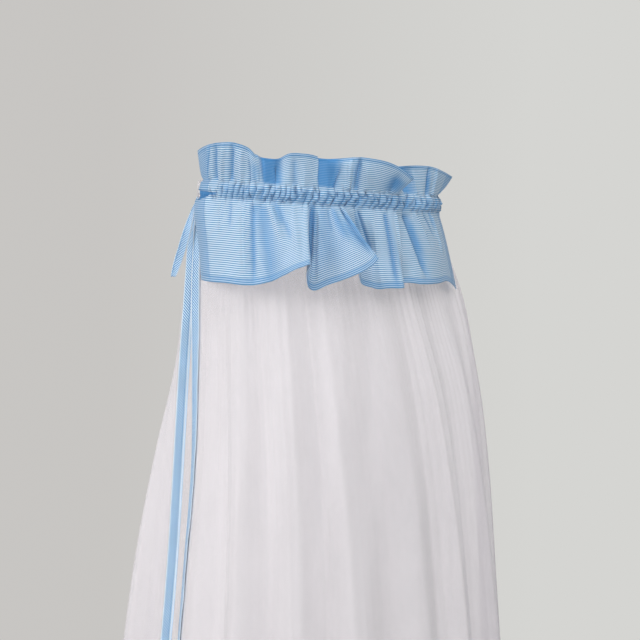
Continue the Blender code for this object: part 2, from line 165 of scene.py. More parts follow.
# Creases: their seam angles at the tunnel and at the edge, at what part of the way they end, how high (a
# ridge) or deep (a trough) they are and how wide on their left and right, in millimetres, and at what part
# of the way they start, where that isn't at the tunnel.
CREASE_RADIUS = 0.15 * 1000.0
FRILL_CREASES = rows_of(
    "low high end depth left right start",
    (243.2, 243.2, 1.2, 2.4, 2.4, 0.9, 0.1), (268.9, 269.2, 1.2, 2, 3, 0.9, 0.1),
    (211, 208.6, 1.1, 3, 3.4, 3, 0.05), (216.4, 215, 1.1, -3.6, 3.6, 3.8), (222.4, 221, 1.1, 3, 3, 3.2),
    (228.2, 226.8, 1.1, -3.6, 3.8, 3.8), (234.6, 232.8, 1, 2.4, 3.2, 3.8),
    (239.4, 238, 0.8, -2.6, 1.4, 1.4), (250.6, 249.8, 0.8, -2.6, 2, 1.4),
    (259.8, 258.8, 1, -2, 3.4, 3.4), (264.5, 263.5, 0.9, 1.4, 3, 3),
    (276.4, 278.6, 0.95, -2.6, 1.4, 1.6), (283.4, 281.4, 1.1, 3.5, 2.2, 1.6),
    (286.6, 284.4, 1.1, -4.5, 2.4, 3.6), (291.5, 288.8, 1, 2.2, 2.6, 4.4),
    (303.6, 302.4, 0.9, -2.6, 4.4, 3), (322, 321.5, 1, 2.2, 2.6, 2),
    (329.6, 330.6, 1.1, -4.5, 2.4, 2.4), (334.5, 336, 1.1, 3.2, 2, 2.6),
    defaults=(0.0,),
)
VALANCE_CREASES = rows_of(
    "low high end depth left right start",
    (244.5, 251, 1.2, -2.6, 7, 14), (222.5, 222, 0.45, 2.1, 2.4, 2.4, 0.05),
    (228.6, 228, 0.4, -1.9, 2.6, 3), (236.4, 236.5, 1.1, 3.2, 5, 3), (240.6, 240, 1.1, -3.5, 3, 5),
    (249, 257.5, 0.6, 3.4, 5, 2.2), (252.8, 260.6, 0.6, -2, 2.4, 4), (260, 263, 0.9, 1.9, 3.4, 2.6),
    (268, 268.4, 0.8, -4.2, 1.6, 2.2), (271.6, 271.6, 1, 2.9, 1.8, 3.4),
    (274.6, 275, 0.45, -2.2, 1.8, 2.2), (277, 278.2, 1, 2.6, 3.4, 1.2),
    (279.8, 280.6, 1, -3.2, 1.8, 2.2), (288.2, 292.5, 0.65, -4.2, 1.8, 2.2),
    (294, 295.2, 1.1, 2.6, 3.4, 3.4), (301.5, 302, 1.1, -3.8, 3.4, 2), (307, 307.4, 0.9, 3.5, 2.2, 1.6),
    (312, 325, 1, -5, 3.4, 6), (318.5, 330, 0.55, 3.2, 2.4, 2.2), (326.4, 335, 0.4, -3.2, 1.8, 1.8),
    (334, 341, 0.7, 2.6, 2.2, 2.2),
    defaults=(0.0,),
)

# Painted shade on faces of folds that turn away from the light, where the stripes sink into plain deep blue:
# the seam angle and height of their middles, how they lean (degrees a millimetre), and how wide, tall and
# deep.
SHADES = rows_of(
    "seam height lean wide tall depth",
    (215.6, 30, 0, 1.5, 20, 0.5), (227.4, 30, 0, 1.9, 20, 0.55), (241.4, 26, -0.01, 1.7, 13, 0.65),
    (284.9, 30, -0.05, 1.4, 18, 0.75), (303, 26, 0, 3.4, 13, 1.1), (330.4, 28, 0, 1.5, 16, 1.05),
    (253.6, -24, -0.14, 1.9, 15, 0.75), (268.7, -26, -0.02, 1.6, 20, 1),
    (273.4, -44, -0.02, 2.8, 40, 0.42), (277.4, -36, -0.03, 1.2, 24, 0.8),
    (280.8, -42, -0.03, 1.1, 26, 0.95), (280.2, -62, -0.06, 1.7, 34, 0.9),
    (287.5, -30, -0.02, 1.2, 16, 0.65), (303, -50, -0.03, 1.2, 34, 0.4),
    (318.5, -44, -0.14, 2.4, 26, 0.95), (333.4, -18, -0.12, 1.2, 12, 0.7),
)

# How far round the strip's near end is tucked, in degrees, at each height of the cut strip.
END_TUCKS = rows_of(
    "height shift",
    (-0.105, 4), (-0.06, 2), (-0.022, 0.4), (-0.0135, 1.6), (-0.0095, 3.4), (-0.0035, 4.8),
    (0.0015, 7.2), (0.0085, 7.4), (0.02, 4.8), (0.034, 2.6), (0.053, -0.8),
)
FAR_TUCKS = rows_of(
    "height shift",
    (-0.105, 0), (0, 0), (0.006, -0.6), (0.0115, -8.5), (0.02, -7), (0.034, -3.4), (0.053, 0),
)
TUCK_FADE = 7.0
FRILL_DROOP = 0.007
DROOP_FADE = 6.0
POCKET_END = 219.4
POCKET_DEPTH = 0.0042
POCKET_LINE = -0.0036
POCKET_RISE = 0.0018
POCKET_FALL = 0.0096

# The net's outline in plan at each level, as in the part.
OUTLINE_ANGLES = (270.0, 342.0, 372.0, 450.0)
NET_SECTIONS = rows_of(
    "down front side right back bulge_x bulge_y fold",
    (0.01, 0.1432, 0.1432, 0.1432, 0.1432, -0.143, 0.015, 0),
    (0.03, 0.1436, 0.1436, 0.148, 0.145, -0.1475, 0.016, 0.0005),
    (0.055, 0.1455, 0.1455, 0.16, 0.153, -0.1545, 0.018, 0.0012),
    (0.105, 0.1505, 0.1505, 0.18, 0.166, -0.1583, 0.02, 0.0025),
    (0.215, 0.169, 0.182, 0.198, 0.184, -0.1672, 0.026, 0.006),
    (0.315, 0.183, 0.196, 0.206, 0.195, -0.187, 0.033, 0.009),
    (0.435, 0.196, 0.206, 0.212, 0.206, -0.211, 0.04, 0.012),
    (0.8, 0.228, 0.232, 0.233, 0.234, -0.256, 0.05, 0.018),
    (1.2, 0.26, 0.261, 0.26, 0.262, -0.29, 0.056, 0.023),
    (1.45, 0.278, 0.278, 0.276, 0.278, -0.306, 0.06, 0.025),
)
NET_EDGES = rows_of(
    "down near_x near_y near_turn far_x far_y far_turn",
    (0.01, -0.1392, -0.0334, -74, -0.1432, 0.0012, 95), (0.03, -0.1408, -0.0345, -62, -0.144, 0, 110),
    (0.055, -0.1432, -0.0358, -50, -0.146, -0.0015, 128),
    (0.105, -0.1463, -0.039, -32, -0.1478, -0.003, 154),
    (0.215, -0.1455, -0.047, -50, -0.1552, -0.004, 170),
    (0.315, -0.1458, -0.058, -66, -0.1616, -0.003, 173),
    (0.435, -0.1544, -0.072, -74, -0.1697, -0.001, 175), (0.8, -0.184, -0.105, -76, -0.205, 0.002, 175),
    (1.2, -0.216, -0.133, -76, -0.238, 0.004, 175), (1.45, -0.235, -0.148, -76, -0.256, 0.004, 175),
)
NET_LEVELS = (
    0.01, 0.0125, 0.015, 0.019, 0.024, 0.03, 0.037, 0.045, 0.054, 0.064, 0.075, 0.087, 0.1, 0.115,
    0.132, 0.15, 0.17, 0.192, 0.215, 0.24, 0.268, 0.3, 0.335, 0.375, 0.42, 0.47, 0.525, 0.585,
    0.65, 0.72, 0.795, 0.875, 0.96, 1.05, 1.14, 1.23, 1.315, 1.39, 1.43, 1.44, NET_DROP,
)
CASING_ROWS = rows_of(
    "radius height",
    (0.1419, -0.0098), (0.1407, -0.0093), (0.1395, -0.0088), (0.1384, -0.0079), (0.1378, -0.0062),
    (0.1377, -0.002), (0.1378, 0.003), (0.138, 0.0058), (0.1387, 0.0072), (0.1396, 0.0079),
    (0.1406, 0.0081), (0.1416, 0.0079), (0.1425, 0.0071), (0.1431, 0.0056), (0.1433, 0.003),
    (0.1433, -0.002), (0.1433, -0.0065),
)
NET_FOLDS = rows_of(
    "at crest hollow",
    (0.035, 0.7, 0.8), (0.088, 1.1, 0.9), (0.15, 0.8, 1.2), (0.203, 1.2, 0.7), (0.27, 1, 1),
    (0.325, 0.6, 0.9), (0.383, 1.2, 1.1), (0.447, 0.9, 0.6), (0.498, 1.1, 1), (0.56, 0.8, 1.2),
    (0.618, 1.2, 0.8), (0.672, 0.7, 1), (0.735, 1.1, 0.9), (0.79, 0.9, 1.1), (0.852, 1.2, 0.7),
    (0.905, 0.8, 1), (0.958, 1, 0.6),
)
NET_FOLD_SHARE = 0.85

# The net's finer folds, which start as gathers on the hoop: how many there are over its width, how deep
# on the hoop and at the foot, and how soon the one gives way to the other.
NET_GATHERINGS = rows_of(
    "count top foot fade",
    (118, 0.0013, 0.0003, 0.09), (53, 0.0008, 0.0012, 0.5), (31, 0.0005, 0.0022, 0.6),
)

# How uneven these are in where they start, in their way down, and in their size on the hoop and at the
# foot: how much, over how many folds, and the seed of the draws.
UNEVENNESS = ((0.9, 2.2, 20), (0.7, 3.1, 30), (0.45, 1.7, 40), (0.4, 1.3, 50))

# The tie's tail, as in the part.
TIE_ROWS = rows_of(
    "down across depth turn width",
    (0.003, -0.14, -0.0359, 14, 0.01), (0.012, -0.1402, -0.036, 14, 0.01),
    (0.026, -0.1452, -0.0376, 26, 0.01), (0.042, -0.15, -0.0382, 52, 0.01),
    (0.058, -0.1547, -0.0385, 76, 0.01), (0.074, -0.1594, -0.0385, 86, 0.01),
    (0.09, -0.1644, -0.038, 80, 0.0096), (0.106, -0.1694, -0.0372, 72, 0.0066),
)
TIE_START = 0.0105
TIE_CUT = 0.0226
TIE_THICKNESS = 0.0012
BINDING_START_NEAR = 0.028
BINDING_START_FAR = 0.015


# ------------ curves and places


def through(keys, values, wanted):
    """A smooth curve through a table's rows, read at the wanted places."""
    keys = np.asarray(keys, float)
    values = np.asarray(values, float)
    slopes = np.gradient(values, keys)
    right = np.clip(np.searchsorted(keys, wanted, side="right"), 1, len(keys) - 1)
    left = right - 1
    span = keys[right] - keys[left]
    part = (wanted - keys[left]) / span
    rest = 1.0 - part
    return (
        values[left] * (1.0 + 2.0 * part) * rest**2
        + slopes[left] * span * part * rest**2
        + values[right] * part**2 * (3.0 - 2.0 * part)
        - slopes[right] * span * part**2 * rest
    )


def column_of(rows, name):
    return [getattr(row, name) for row in rows]


def level_of(table, down):
    """The table's columns at this level, as one row."""
    keys = column_of(table, "down")
    kind = type(table[0])
    return kind(*[float(through(keys, column_of(table, name), down)) for name in kind._fields])


def smooth_step(value):
    value = np.clip(value, 0.0, 1.0)
    return value * value * (3.0 - 2.0 * value)


def on_hoop(across, depth, height, tilted=1.0):
    """Places beside the hoop, in the part's frame, tilted as the hoop is."""
    across, depth, height = np.broadcast_arrays(across, depth, height)
    tilt = HOOP_TILT * tilted
    near_hoop = np.clip(height, -CASING_STITCH, CASING_STITCH)
    return np.stack(
        (
            HOOP_CENTRE[0] + across * math.cos(tilt) + near_hoop * math.sin(tilt),
            HOOP_CENTRE[1] + depth,
            HOOP_CENTRE[2] - across * math.sin(tilt) + near_hoop * math.cos(tilt) + height - near_hoop,
        ),
        axis=-1,
    )


def faces_of(places):
    """The direction that a sheet of places faces at each of them."""
    along = np.gradient(places, axis=1)
    up = np.gradient(places, axis=0)
    faces = np.cross(along, up)
    return faces / np.maximum(np.linalg.norm(faces, axis=-1, keepdims=True), 1e-12)


def smooth_noise(count, step, seed):
    """An uneven but smooth run of values from -1 to 1."""
    rng = np.random.default_rng(seed)
    keys = np.arange(0.0, count + 2.0 * step, step)
    values = rng.uniform(-1.0, 1.0, len(keys))
    return through(keys, values, np.arange(count))


# ------------ making meshes


def deselect_all():
    for thing in bpy.context.view_layer.objects:
        thing.select_set(False)


def cloth_sheet(name, places, flat, thickness, material, marks=None):
    """A grid of cloth moved to its places, with its flat cut in metres as its UV map, and made solid."""
    rows, columns = places.shape[:2]
    deselect_all()
    bpy.ops.mesh.primitive_grid_add(x_subdivisions=columns - 1, y_subdivisions=rows - 1, size=2.0)
    cloth = bpy.context.active_object
    cloth.name = name
    mesh = cloth.data
    mesh.name = name
    start = np.empty(len(mesh.vertices) * 3)
    mesh.vertices.foreach_get("co", start)
    across, along = (start.reshape(-1, 3)[:, :2].T + 1.0) / 2.0
    column = np.rint(across * (columns - 1)).astype(int)
    row = np.rint(along * (rows - 1)).astype(int)
    mesh.vertices.foreach_set("co", places[row, column].ravel())
    corners = np.empty(len(mesh.loops), int)
    mesh.loops.foreach_get("vertex_index", corners)
    cut = mesh.uv_layers.active or mesh.uv_layers.new(name="cut")
    cut.name = "cut"
    cut.data.foreach_set("uv", flat[row, column][corners].astype(np.float32).ravel())
    for mark, values in (marks or {}).items():
        layer = mesh.attributes.new(mark, "FLOAT", "POINT")
        layer.data.foreach_set("value", values[row, column].astype(np.float32).ravel())
    mesh.shade_smooth()
    mesh.materials.append(material)
    mesh.update()
    body = cloth.modifiers.new("cloth thickness", "SOLIDIFY")
    body.thickness = thickness
    body.offset = 0.0
    body.use_even_offset = False
    bpy.ops.object.modifier_apply(modifier=body.name)
    return cloth


# ------------ header


def strip_heights():
    """Heights of the cut strip's rows, from the valance's hem up to the frill's edge."""
    stops = (STRIP_HEM, STRIP_HEM + 0.008, -0.03, -TUNNEL_HALF, TUNNEL_HALF, 0.022, STRIP_TOP - 0.005)
    ends = (*stops[1:], STRIP_TOP)
    runs = [np.linspace(low, high, rows + 1)[:-1] for low, high, rows in zip(stops, ends, STRIP_ROWS)]
    return np.concatenate((*runs, [STRIP_TOP]))


def gather_puffs(seam, height):
    """How far the cloth puffs out between gathers and spreads sideways, and the painted shade between its
    gathers and along its pinch creases.
    """
    inside = np.clip(height / TUNNEL_HALF, -1.0, 1.0)
    away = np.clip(np.abs(height) - 0.85 * TUNNEL_HALF, 0.0, None)
    rng = np.random.default_rng(7)
    pinches = []
    for gather in GATHERS:
        bow = gather.lean * inside - gather.bow * inside**2
        sway = PINCH_SWAY * rng.uniform(0.3, 1.0)
        sway = sway * np.sin(height * rng.uniform(*SWAY_PACE) + rng.uniform(0.0, 6.0))
        pinches.append(gather.at + np.degrees((bow + sway) * 0.001 / HEADER_RADIUS))
    puff = np.zeros_like(seam)
    spread = np.zeros_like(seam)
    crease = np.zeros_like(seam)
    shade = np.zeros_like(seam)
    for number, (gather, after) in enumerate(zip(GATHERS, GATHERS[1:])):
        left = pinches[number]
        right = pinches[number + 1]
        part = (seam - left) / (right - left)
        here = (part >= 0.0) & (part < 1.0)
        part = np.clip(part, 0.0, 1.0)
        rows = [np.where(height > 0.0, row.up, row.down) * 0.001 for row in (gather, after)]
        reach = rows[0] * (1.0 - part) + rows[1] * part
        fade = np.exp(-((away / reach) ** 1.2))
        full = min(1.0, gather.puff / FULL_PUFF)
        heart = (inside - rng.uniform(-0.6, 0.6)) / rng.uniform(0.8, 1.4)
        size = PUFF_SIZE * gather.puff * (0.5 + 0.5 * np.exp(-(heart**2)))
        bump = np.sin(np.pi * part ** rng.uniform(0.72, 1.35))
        puff = np.where(here, size * fade * bump**0.8, puff)
        # painted shade between the gathers, deepest beside each pinch
        shade = np.where(here, full * (1.0 - bump**1.6), shade)
        aside = -PUFF_SPREAD * (after.at - gather.at) * fade * np.sin(2.0 * np.pi * part)
        spread = np.where(here, aside, spread)
        for side, row in ((left, rows[0]), (right, rows[1])):
            beside = np.radians(seam - side) * HEADER_RADIUS / CREASE_WIDTH
            tall = np.exp(-((np.abs(inside - rng.uniform(-0.45, 0.45)) / rng.uniform(0.55, 1.05)) ** 4))
            tall = np.maximum(tall, np.where(np.abs(inside) > 0.6, smooth_step((row - 0.007) / 0.004), 0.0))
            # painted shade along the pinch's crease
            dark = full * tall * np.exp(-(beside**2)) * np.exp(-((away / (0.55 * row)) ** 1.5))
            crease = np.maximum(crease, np.where(here, dark, 0.0))
    return puff, spread, crease, shade


def small_wrinkles(seam, height):
    """Short sharp wrinkles beside both stitch lines and inside the tunnel, and the painted shade in their
    troughs.
    """
    rng = np.random.default_rng(11)
    wrinkles = np.zeros_like(seam)
    wrinkle_shade = np.zeros_like(seam)
    start = HEADER_START + PLAIN_END
    for number in range(WRINKLES):
        at = start + (HEADER_END - start) * (number + rng.uniform(-0.4, 0.4)) / WRINKLES
        side = rng.uniform(-0.95, 0.95)
        lean = rng.uniform(-WRINKLE_LEAN, WRINKLE_LEAN)
        depth = WRINKLE_DEPTH * rng.uniform(0.4, 1.4) * rng.choice((-1.0, 1.0))
        wide = rng.uniform(*WRINKLE_WIDTH)
        reach = WRINKLE_REACH * rng.uniform(0.5, 1.6)
        away = height - side * TUNNEL_HALF
        across = (seam - at - lean * away) / wide
        bump = np.exp(-(across**2)) * np.exp(-((away / reach) ** 2))
        wrinkles += depth * bump
        if depth < 0.0:
            # painted shade in the trough of each wrinkle that sinks in
            wrinkle_shade = np.maximum(wrinkle_shade, -depth / WRINKLE_DEPTH * 0.75 * bump)
    return wrinkles, wrinkle_shade


def crease_relief(creases, seam, part):
    """The soft ridges and troughs of one side of the strip."""
    relief = np.zeros_like(seam)
    for crease in creases:
        along = (part - crease.start) / (crease.end - crease.start)
        middle = crease.low + (crease.high - crease.low) * np.clip(along, 0.0, 1.0)
        across = np.radians(seam - middle) * CREASE_RADIUS
        width = np.where(across < 0.0, crease.left, crease.right)
        window = smooth_step(along / 0.1 + 0.35) * smooth_step((1.0 - along) / 0.35)
        relief += 0.001 * crease.depth * np.exp(-((across / width) ** 2)) * window
    return relief


def edge_stands(table, seam):
    """Where the strip's free edge stands for each place along its seam, as one value a column."""
    keys = column_of(table, "seam")
    return {name: through(keys, column_of(table, name), seam) for name in ("edge", "out", "reach")}


def gathered_seam(share):
    """Where each part of the strip's length is gathered to: more of it where an edge has more folds."""
    seam = np.linspace(HEADER_START, HEADER_END, 3000)
    step = np.full(len(seam) - 1, np.radians(seam[1] - seam[0]) * HEADER_RADIUS)
    for table in (FRILL_EDGE, VALANCE_EDGE):
        stands = edge_stands(table, seam)
        turn = np.radians(stands["edge"])
        radius = HEADER_RADIUS + stands["out"]
        edge = np.stack((radius * np.cos(turn), radius * np.sin(turn), stands["reach"]), axis=1)
        step = np.maximum(step, np.linalg.norm(np.diff(edge, axis=0), axis=1))
    run = running(step)
    return np.interp(share * run[-1], run, seam)


def header_places():
    """The header strip's places, its flat cut, and its marks of painted shade for the material."""
    columns = np.linspace(0.0, 1.0, HEADER_COLUMNS)
    share, height = np.meshgrid(columns, strip_heights())
    seam = np.broadcast_to(gathered_seam(columns), share.shape)
    part = np.clip((np.abs(height) - TUNNEL_HALF) / np.where(height > 0, FRILL_CUT, VALANCE_CUT), 0.0, 1.0)
    above = edge_stands(FRILL_EDGE, seam)
    below = edge_stands(VALANCE_EDGE, seam)
    stands = {name: np.where(height > 0.0, above[name], below[name]) for name in above}
    angle = seam + (stands["edge"] - seam) * part
    for tucks, from_end in ((END_TUCKS, seam - HEADER_START), (FAR_TUCKS, HEADER_END - seam)):
        shift = through(column_of(tucks, "height"), column_of(tucks, "shift"), height)
        angle = angle + shift * np.exp(-from_end / TUCK_FADE)
    level = np.sign(height) * (TUNNEL_HALF + (stands["reach"] - TUNNEL_HALF) * part)
    level = np.where(np.abs(height) < TUNNEL_HALF, height, level)
    droop = np.where(height > 0.0, np.sin(np.pi * part**1.2), 0.0)
    droop = droop * np.exp(-(seam - HEADER_START) / DROOP_FADE)
    level = level - FRILL_DROOP * droop
    inside = np.clip(1.0 - (height / TUNNEL_HALF) ** 2, 0.0, 1.0)
    radius = HEADER_RADIUS + stands["out"] * part**FLARE_POWER + TUNNEL_BULGE * inside
    # the open pocket at the near end, which narrows to a point between the cloth over and under it
    to_point = np.clip((POCKET_END - seam) / (POCKET_END - HEADER_START - 6.0), 0.0, 1.0)
    near_end = smooth_step(to_point * 2.0)
    over = POCKET_LINE + POCKET_RISE * to_point
    under = POCKET_LINE - POCKET_FALL * to_point
    band = smooth_step((height - over) / 0.0016 + 0.5) * smooth_step((0.0125 - height) / 0.006)
    drop = smooth_step((under - height) / 0.0022 + 0.5) * smooth_step((height + 0.07) / 0.05)
    radius = radius + POCKET_DEPTH * near_end * (0.7 * band + drop)
    pocket = smooth_step((over - height) / 0.0012 + 0.5) * smooth_step((height - under) / 0.0012 + 0.5)
    pocket = pocket * smooth_step(to_point * 6.0)
    turn = np.radians(angle)
    places = on_hoop(radius * np.cos(turn), radius * np.sin(turn), level)
    faces = faces_of(places)
    ridges = [crease_relief(creases, seam, part) for creases in (FRILL_CREASES, VALANCE_CREASES)]
    beyond = smooth_step(part / 0.12)
    relief = np.where(height > 0.0, *ridges) * beyond
    puff, spread, crease, shade = gather_puffs(seam, height)
    outward = np.stack((np.cos(turn), np.sin(turn), np.zeros_like(turn)), axis=-1)
    sideways = np.stack((-np.sin(turn), np.cos(turn), np.zeros_like(turn)), axis=-1)
    direction = outward * (1.0 - beyond)[..., None] + faces * beyond[..., None]
    direction /= np.linalg.norm(direction, axis=-1, keepdims=True)
    wrinkles, wrinkle_shade = small_wrinkles(seam, height)
    # pinch creases and wrinkles share one mark of painted shade
    crease = np.maximum(crease, wrinkle_shade)
    lift = relief + puff + wrinkles
    aside = np.radians(spread) * radius
    places = places + direction * lift[..., None] + sideways * aside[..., None]
    flat = np.stack((share * HEADER_LENGTH, height), axis=-1)
    # the painted shade, mixed in as deep blue: between gathers, in valleys and troughs, on faces turned
    # from the light, in the pocket
    gathered = smooth_step((seam - POCKET_END) / 4.0) * smooth_step((HEADER_END - 4.0 - seam) / 6.0)
    in_tunnel = np.exp(-(((height + 0.0015) / TUNNEL_HALF) ** 4))
    # painted shade over the gathered tunnel and beside each pinch
    beside = (TUNNEL_SHADE + (1.0 - TUNNEL_SHADE) * shade) * gathered * in_tunnel
    valley = np.where(height > 0.0, smooth_step((0.003 - stands["out"]) / 0.014) * beyond, 0.0)
    trough = np.clip(-relief / 0.003, 0.0, 1.0)
    turned = np.zeros_like(seam)
    for shade in SHADES:
        across = (seam - shade.seam - shade.lean * (height * 1000.0 - shade.height)) / shade.wide
        along = (height * 1000.0 - shade.height) / shade.tall
        turned = np.maximum(turned, shade.depth * np.exp(-(across**2) - along**4))
    hollow = np.maximum.reduce((beside, 1.15 * valley, 0.8 * trough, turned, 1.25 * pocket))
    # both marks are painted shade: hollow for folds, gathers and the pocket, crease for pinch and wrinkle
    # creases
    return places, flat, {"hollow": np.clip(hollow, 0.0, 1.25), "crease": crease}


# ------------ net


def around(angle, radius):
    """Places in plan at these angles and distances from the hoop's middle."""
    turn = np.radians(angle)
    return np.stack((radius * np.cos(turn), radius * np.sin(turn)), axis=-1)


def running(steps):
    """How far along a line each of its places is, from the steps between them."""
    return np.concatenate(([0.0], np.cumsum(steps)))


def heading(turn):
    return np.array((math.cos(math.radians(turn)), math.sin(math.radians(turn))))


def net_outline(down):
    """The net's outline in plan at this level: both edges, and evenly spaced places between the tapes."""
    section = level_of(NET_SECTIONS, down)
    edges = level_of(NET_EDGES, down)
    near = np.array((edges.near_x, edges.near_y))
    far = np.array((edges.far_x, edges.far_y))
    first = near + TAPE_WIDTH * heading(edges.near_turn)
    last = far + TAPE_WIDTH * heading(edges.far_turn)
    start = 360.0 + math.degrees(math.atan2(first[1], first[0]))
    end = 360.0 + math.degrees(math.atan2(section.bulge_y, section.bulge_x))
    angles = (start, *OUTLINE_ANGLES, end)
    bulge = math.hypot(section.bulge_x, section.bulge_y)
    radii = (np.hypot(*first), section.front, section.side, section.right, section.back, bulge)
    steps = np.linspace(start, end, OUTLINE_STEPS)[1:]
    corners = np.vstack((first, around(steps, through(angles, radii, steps)), last))
    lengths = running(np.hypot(*np.diff(corners, axis=0).T))
    fine = np.linspace(0.0, lengths[-1], OUTLINE_SAMPLES * 2)
    line = np.stack([through(lengths, corners[:, axis], fine) for axis in (0, 1)], axis=1)
    travelled = running(np.hypot(*np.diff(line, axis=0).T))
    wanted = np.linspace(0.0, travelled[-1], NET_COLUMNS - 4)
    line = np.stack([np.interp(wanted, travelled, line[:, axis]) for axis in (0, 1)], axis=1)
    along = np.gradient(line, axis=0)
    along /= np.hypot(*along.T)[:, None]
    outward = np.stack((along[:, 1], -along[:, 0]), axis=1)
    return near, line, far, outward, section.fold


def with_edges(near, line, far):
    """The net's line in plan with both its edges, each of them two places more."""
    return np.vstack((near, near + (line[0] - near) / 2, line, far + (line[-1] - far) / 2, far))


def fold_wave(part):
    """The main folds' height at this part of the net's width, as in the part."""
    keys = [0.0]
    heights = [0.0]
    for fold, after in zip(NET_FOLDS, NET_FOLDS[1:] + (None,)):
        keys.append(fold.at)
        heights.append(fold.crest)
        if after:
            keys.append((fold.at + after.at) / 2)
            heights.append(-fold.hollow)
    return through(keys + [1.0], heights + [0.0], part)


def gathering_wave(part, down):
    """The finer folds, which wander, grow and fade as they hang."""
    wave = np.zeros_like(part)
    for number, gathering in enumerate(NET_GATHERINGS):
        wander, drift, size, late = (
            amount * smooth_noise(len(part), len(part) / gathering.count * folds, seed + number)
            for amount, folds, seed in UNEVENNESS
        )
        share = math.exp(-max(down, 0.0) / gathering.fade)
        depth = gathering.top * share * (0.55 + size) + gathering.foot * (1.0 - share) * (0.6 + late)
        phase = gathering.count * part + wander + drift * max(down, 0.0) ** 0.6
        wave += depth * np.sin(2.0 * np.pi * phase)
    return wave


def net_places():
    """The net's places, from its casing over the hoop down to its foot, its flat cut, and where its hem is."""
    part = np.linspace(0.0, 1.0, NET_COLUMNS - 4)
    ends = smooth_step(part / 0.012) * smooth_step((1.0 - part) / 0.012)
    rows = []
    near, line, far = net_outline(NET_LEVELS[0])[:3]
    ring = with_edges(near, line, far)
    ring_angle = np.degrees(np.arctan2(ring[:, 1], ring[:, 0])) % 360.0
    under_header = smooth_step((ring_angle - 188.0) / 8.0) * smooth_step((360.0 - ring_angle) / 8.0)
    free = 1.0 - under_header
    unit = ring / np.hypot(*ring.T)[:, None]
    wave = gathering_wave(np.linspace(0.0, 1.0, len(ring)), 0.0)
    for hem in CASING_ROWS:
        outside = 1.0 if hem.radius > HOOP_RADIUS + 0.001 else -0.6
        swell = wave * (0.25 + 0.75 * free) * outside
        lift = wave * (0.35 + 0.9 * free) if hem.height > 0.006 else 0.0 * wave
        radius = hem.radius + np.where(outside > 0, np.maximum(swell, -0.0006), np.minimum(swell, 0.0004))
        rows.append(on_hoop(unit[:, 0] * radius, unit[:, 1] * radius, hem.height + np.abs(lift)))
    for down in NET_LEVELS:
        near, line, far, outward, fold = net_outline(down)
        keep_clear = under_header[2:-2] * math.exp(-((max(down - 0.012, 0.0) / 0.05) ** 2))
        fine = gathering_wave(part, down) * ends * (1.0 - 0.7 * keep_clear)
        fine = np.where(keep_clear > 0.3, np.minimum(fine, 0.0004), fine)
        line = line + outward * (NET_FOLD_SHARE * fold * fold_wave(part) + fine)[:, None]
        plan = with_edges(near, line, far)
        rows.append(on_hoop(plan[:, 0], plan[:, 1], -down, 1.0 - down / NET_DROP))
    places = np.array(rows)
    step = np.linalg.norm(np.diff(places[:, len(ring) // 2], axis=0), axis=1)
    run = running(step)
    run *= NET_LENGTH / run[-1]
    taped = TAPE_WIDTH / NET_WIDTH
    share = np.linspace(taped, 1.0 - taped, NET_COLUMNS - 4)
    share = np.concatenate(([0.0, 0.5 * taped], share, [1.0 - 0.5 * taped, 1.0]))
    flat = np.stack(np.meshgrid(share * NET_WIDTH, -run), axis=-1)
    to_foot = run[-1] - run
    hem = np.repeat(((to_foot < NET_HEM) * 1.0)[:, None], places.shape[1], axis=1)
    return places[::-1], flat[::-1], {"hem": hem[::-1]}


# ------------ tapes and tie


# Half of the tape's section, from its turned-in edge to beside its fold: how far from the net's edge, and
# how far off its face.
BINDING_HALF = (
    (0.0055, 0.00075), (0.0105, 0.0008), (0.0113, 0.00115), (0.0105, 0.0015),
    (0.007, 0.00155), (0.0035, 0.00165), (0.0005, 0.0017), (-0.0009, 0.0013),
)
BINDING_PROFILE = (*BINDING_HALF, (-0.0016, 0.0), *((step, -lift) for step, lift in reversed(BINDING_HALF)))
BINDING_THICKNESS = 0.0004
BINDING_ROWS = 150


def binding_places(side, start):
    """Bias tape folded over a front edge of the net, its raw edges turned in."""
    downs = start + (NET_DROP - start) * np.linspace(0.0, 1.0, BINDING_ROWS) ** 1.4
    rows = []
    for down in downs:
        edges = level_of(NET_EDGES, down)
        edge = np.array((getattr(edges, side + "_x"), getattr(edges, side + "_y")))
        along = heading(getattr(edges, side + "_turn"))
        across = np.array((along[1], -along[0]))
        ripple = 0.00025 * math.sin(down * 61.0 + 1.0) + 0.0002 * math.sin(down * 143.0)
        lifts = [(step, lift + ripple * step / TAPE_WIDTH) for step, lift in BINDING_PROFILE]
        ring = np.array([edge + along * step + across * lift for step, lift in lifts])
        rows.append(on_hoop(ring[:, 0], ring[:, 1], -down, 1.0 - down / NET_DROP))
    places = np.array(rows)
    width = running(np.hypot(*np.diff(np.array(BINDING_PROFILE), axis=0).T))
    flat = np.stack(np.meshgrid(width, -downs), axis=-1)
    if side == "far":
        places = places[:, ::-1]
        flat = flat[:, ::-1]
    return places, flat


def tie_places():
    """The tie's tail: tape folded flat, with a little twist, hanging to its one free end."""
    downs = np.linspace(TIE_START, TIE_ROWS[-1].down, 44)
    sides = np.linspace(-1.0, 1.0, 9)
    rows = []
    for down in downs:
        row = level_of(TIE_ROWS, down)
        facing = heading(row.turn)
        width = heading(row.turn - 90.0) * row.width / 2
        middle = np.array((row.across, row.depth))
        bow = 0.0007 * (1.0 - sides**2)
        plan = middle + width * sides[:, None] + facing * bow[:, None]
        rows.append(on_hoop(plan[:, 0], plan[:, 1], -down))
    places = np.array(rows)
    flat = np.stack(np.meshgrid(TIE_CUT + (sides + 1.0) * 0.005, -downs), axis=-1)
    return places, flat


# ------------ materials


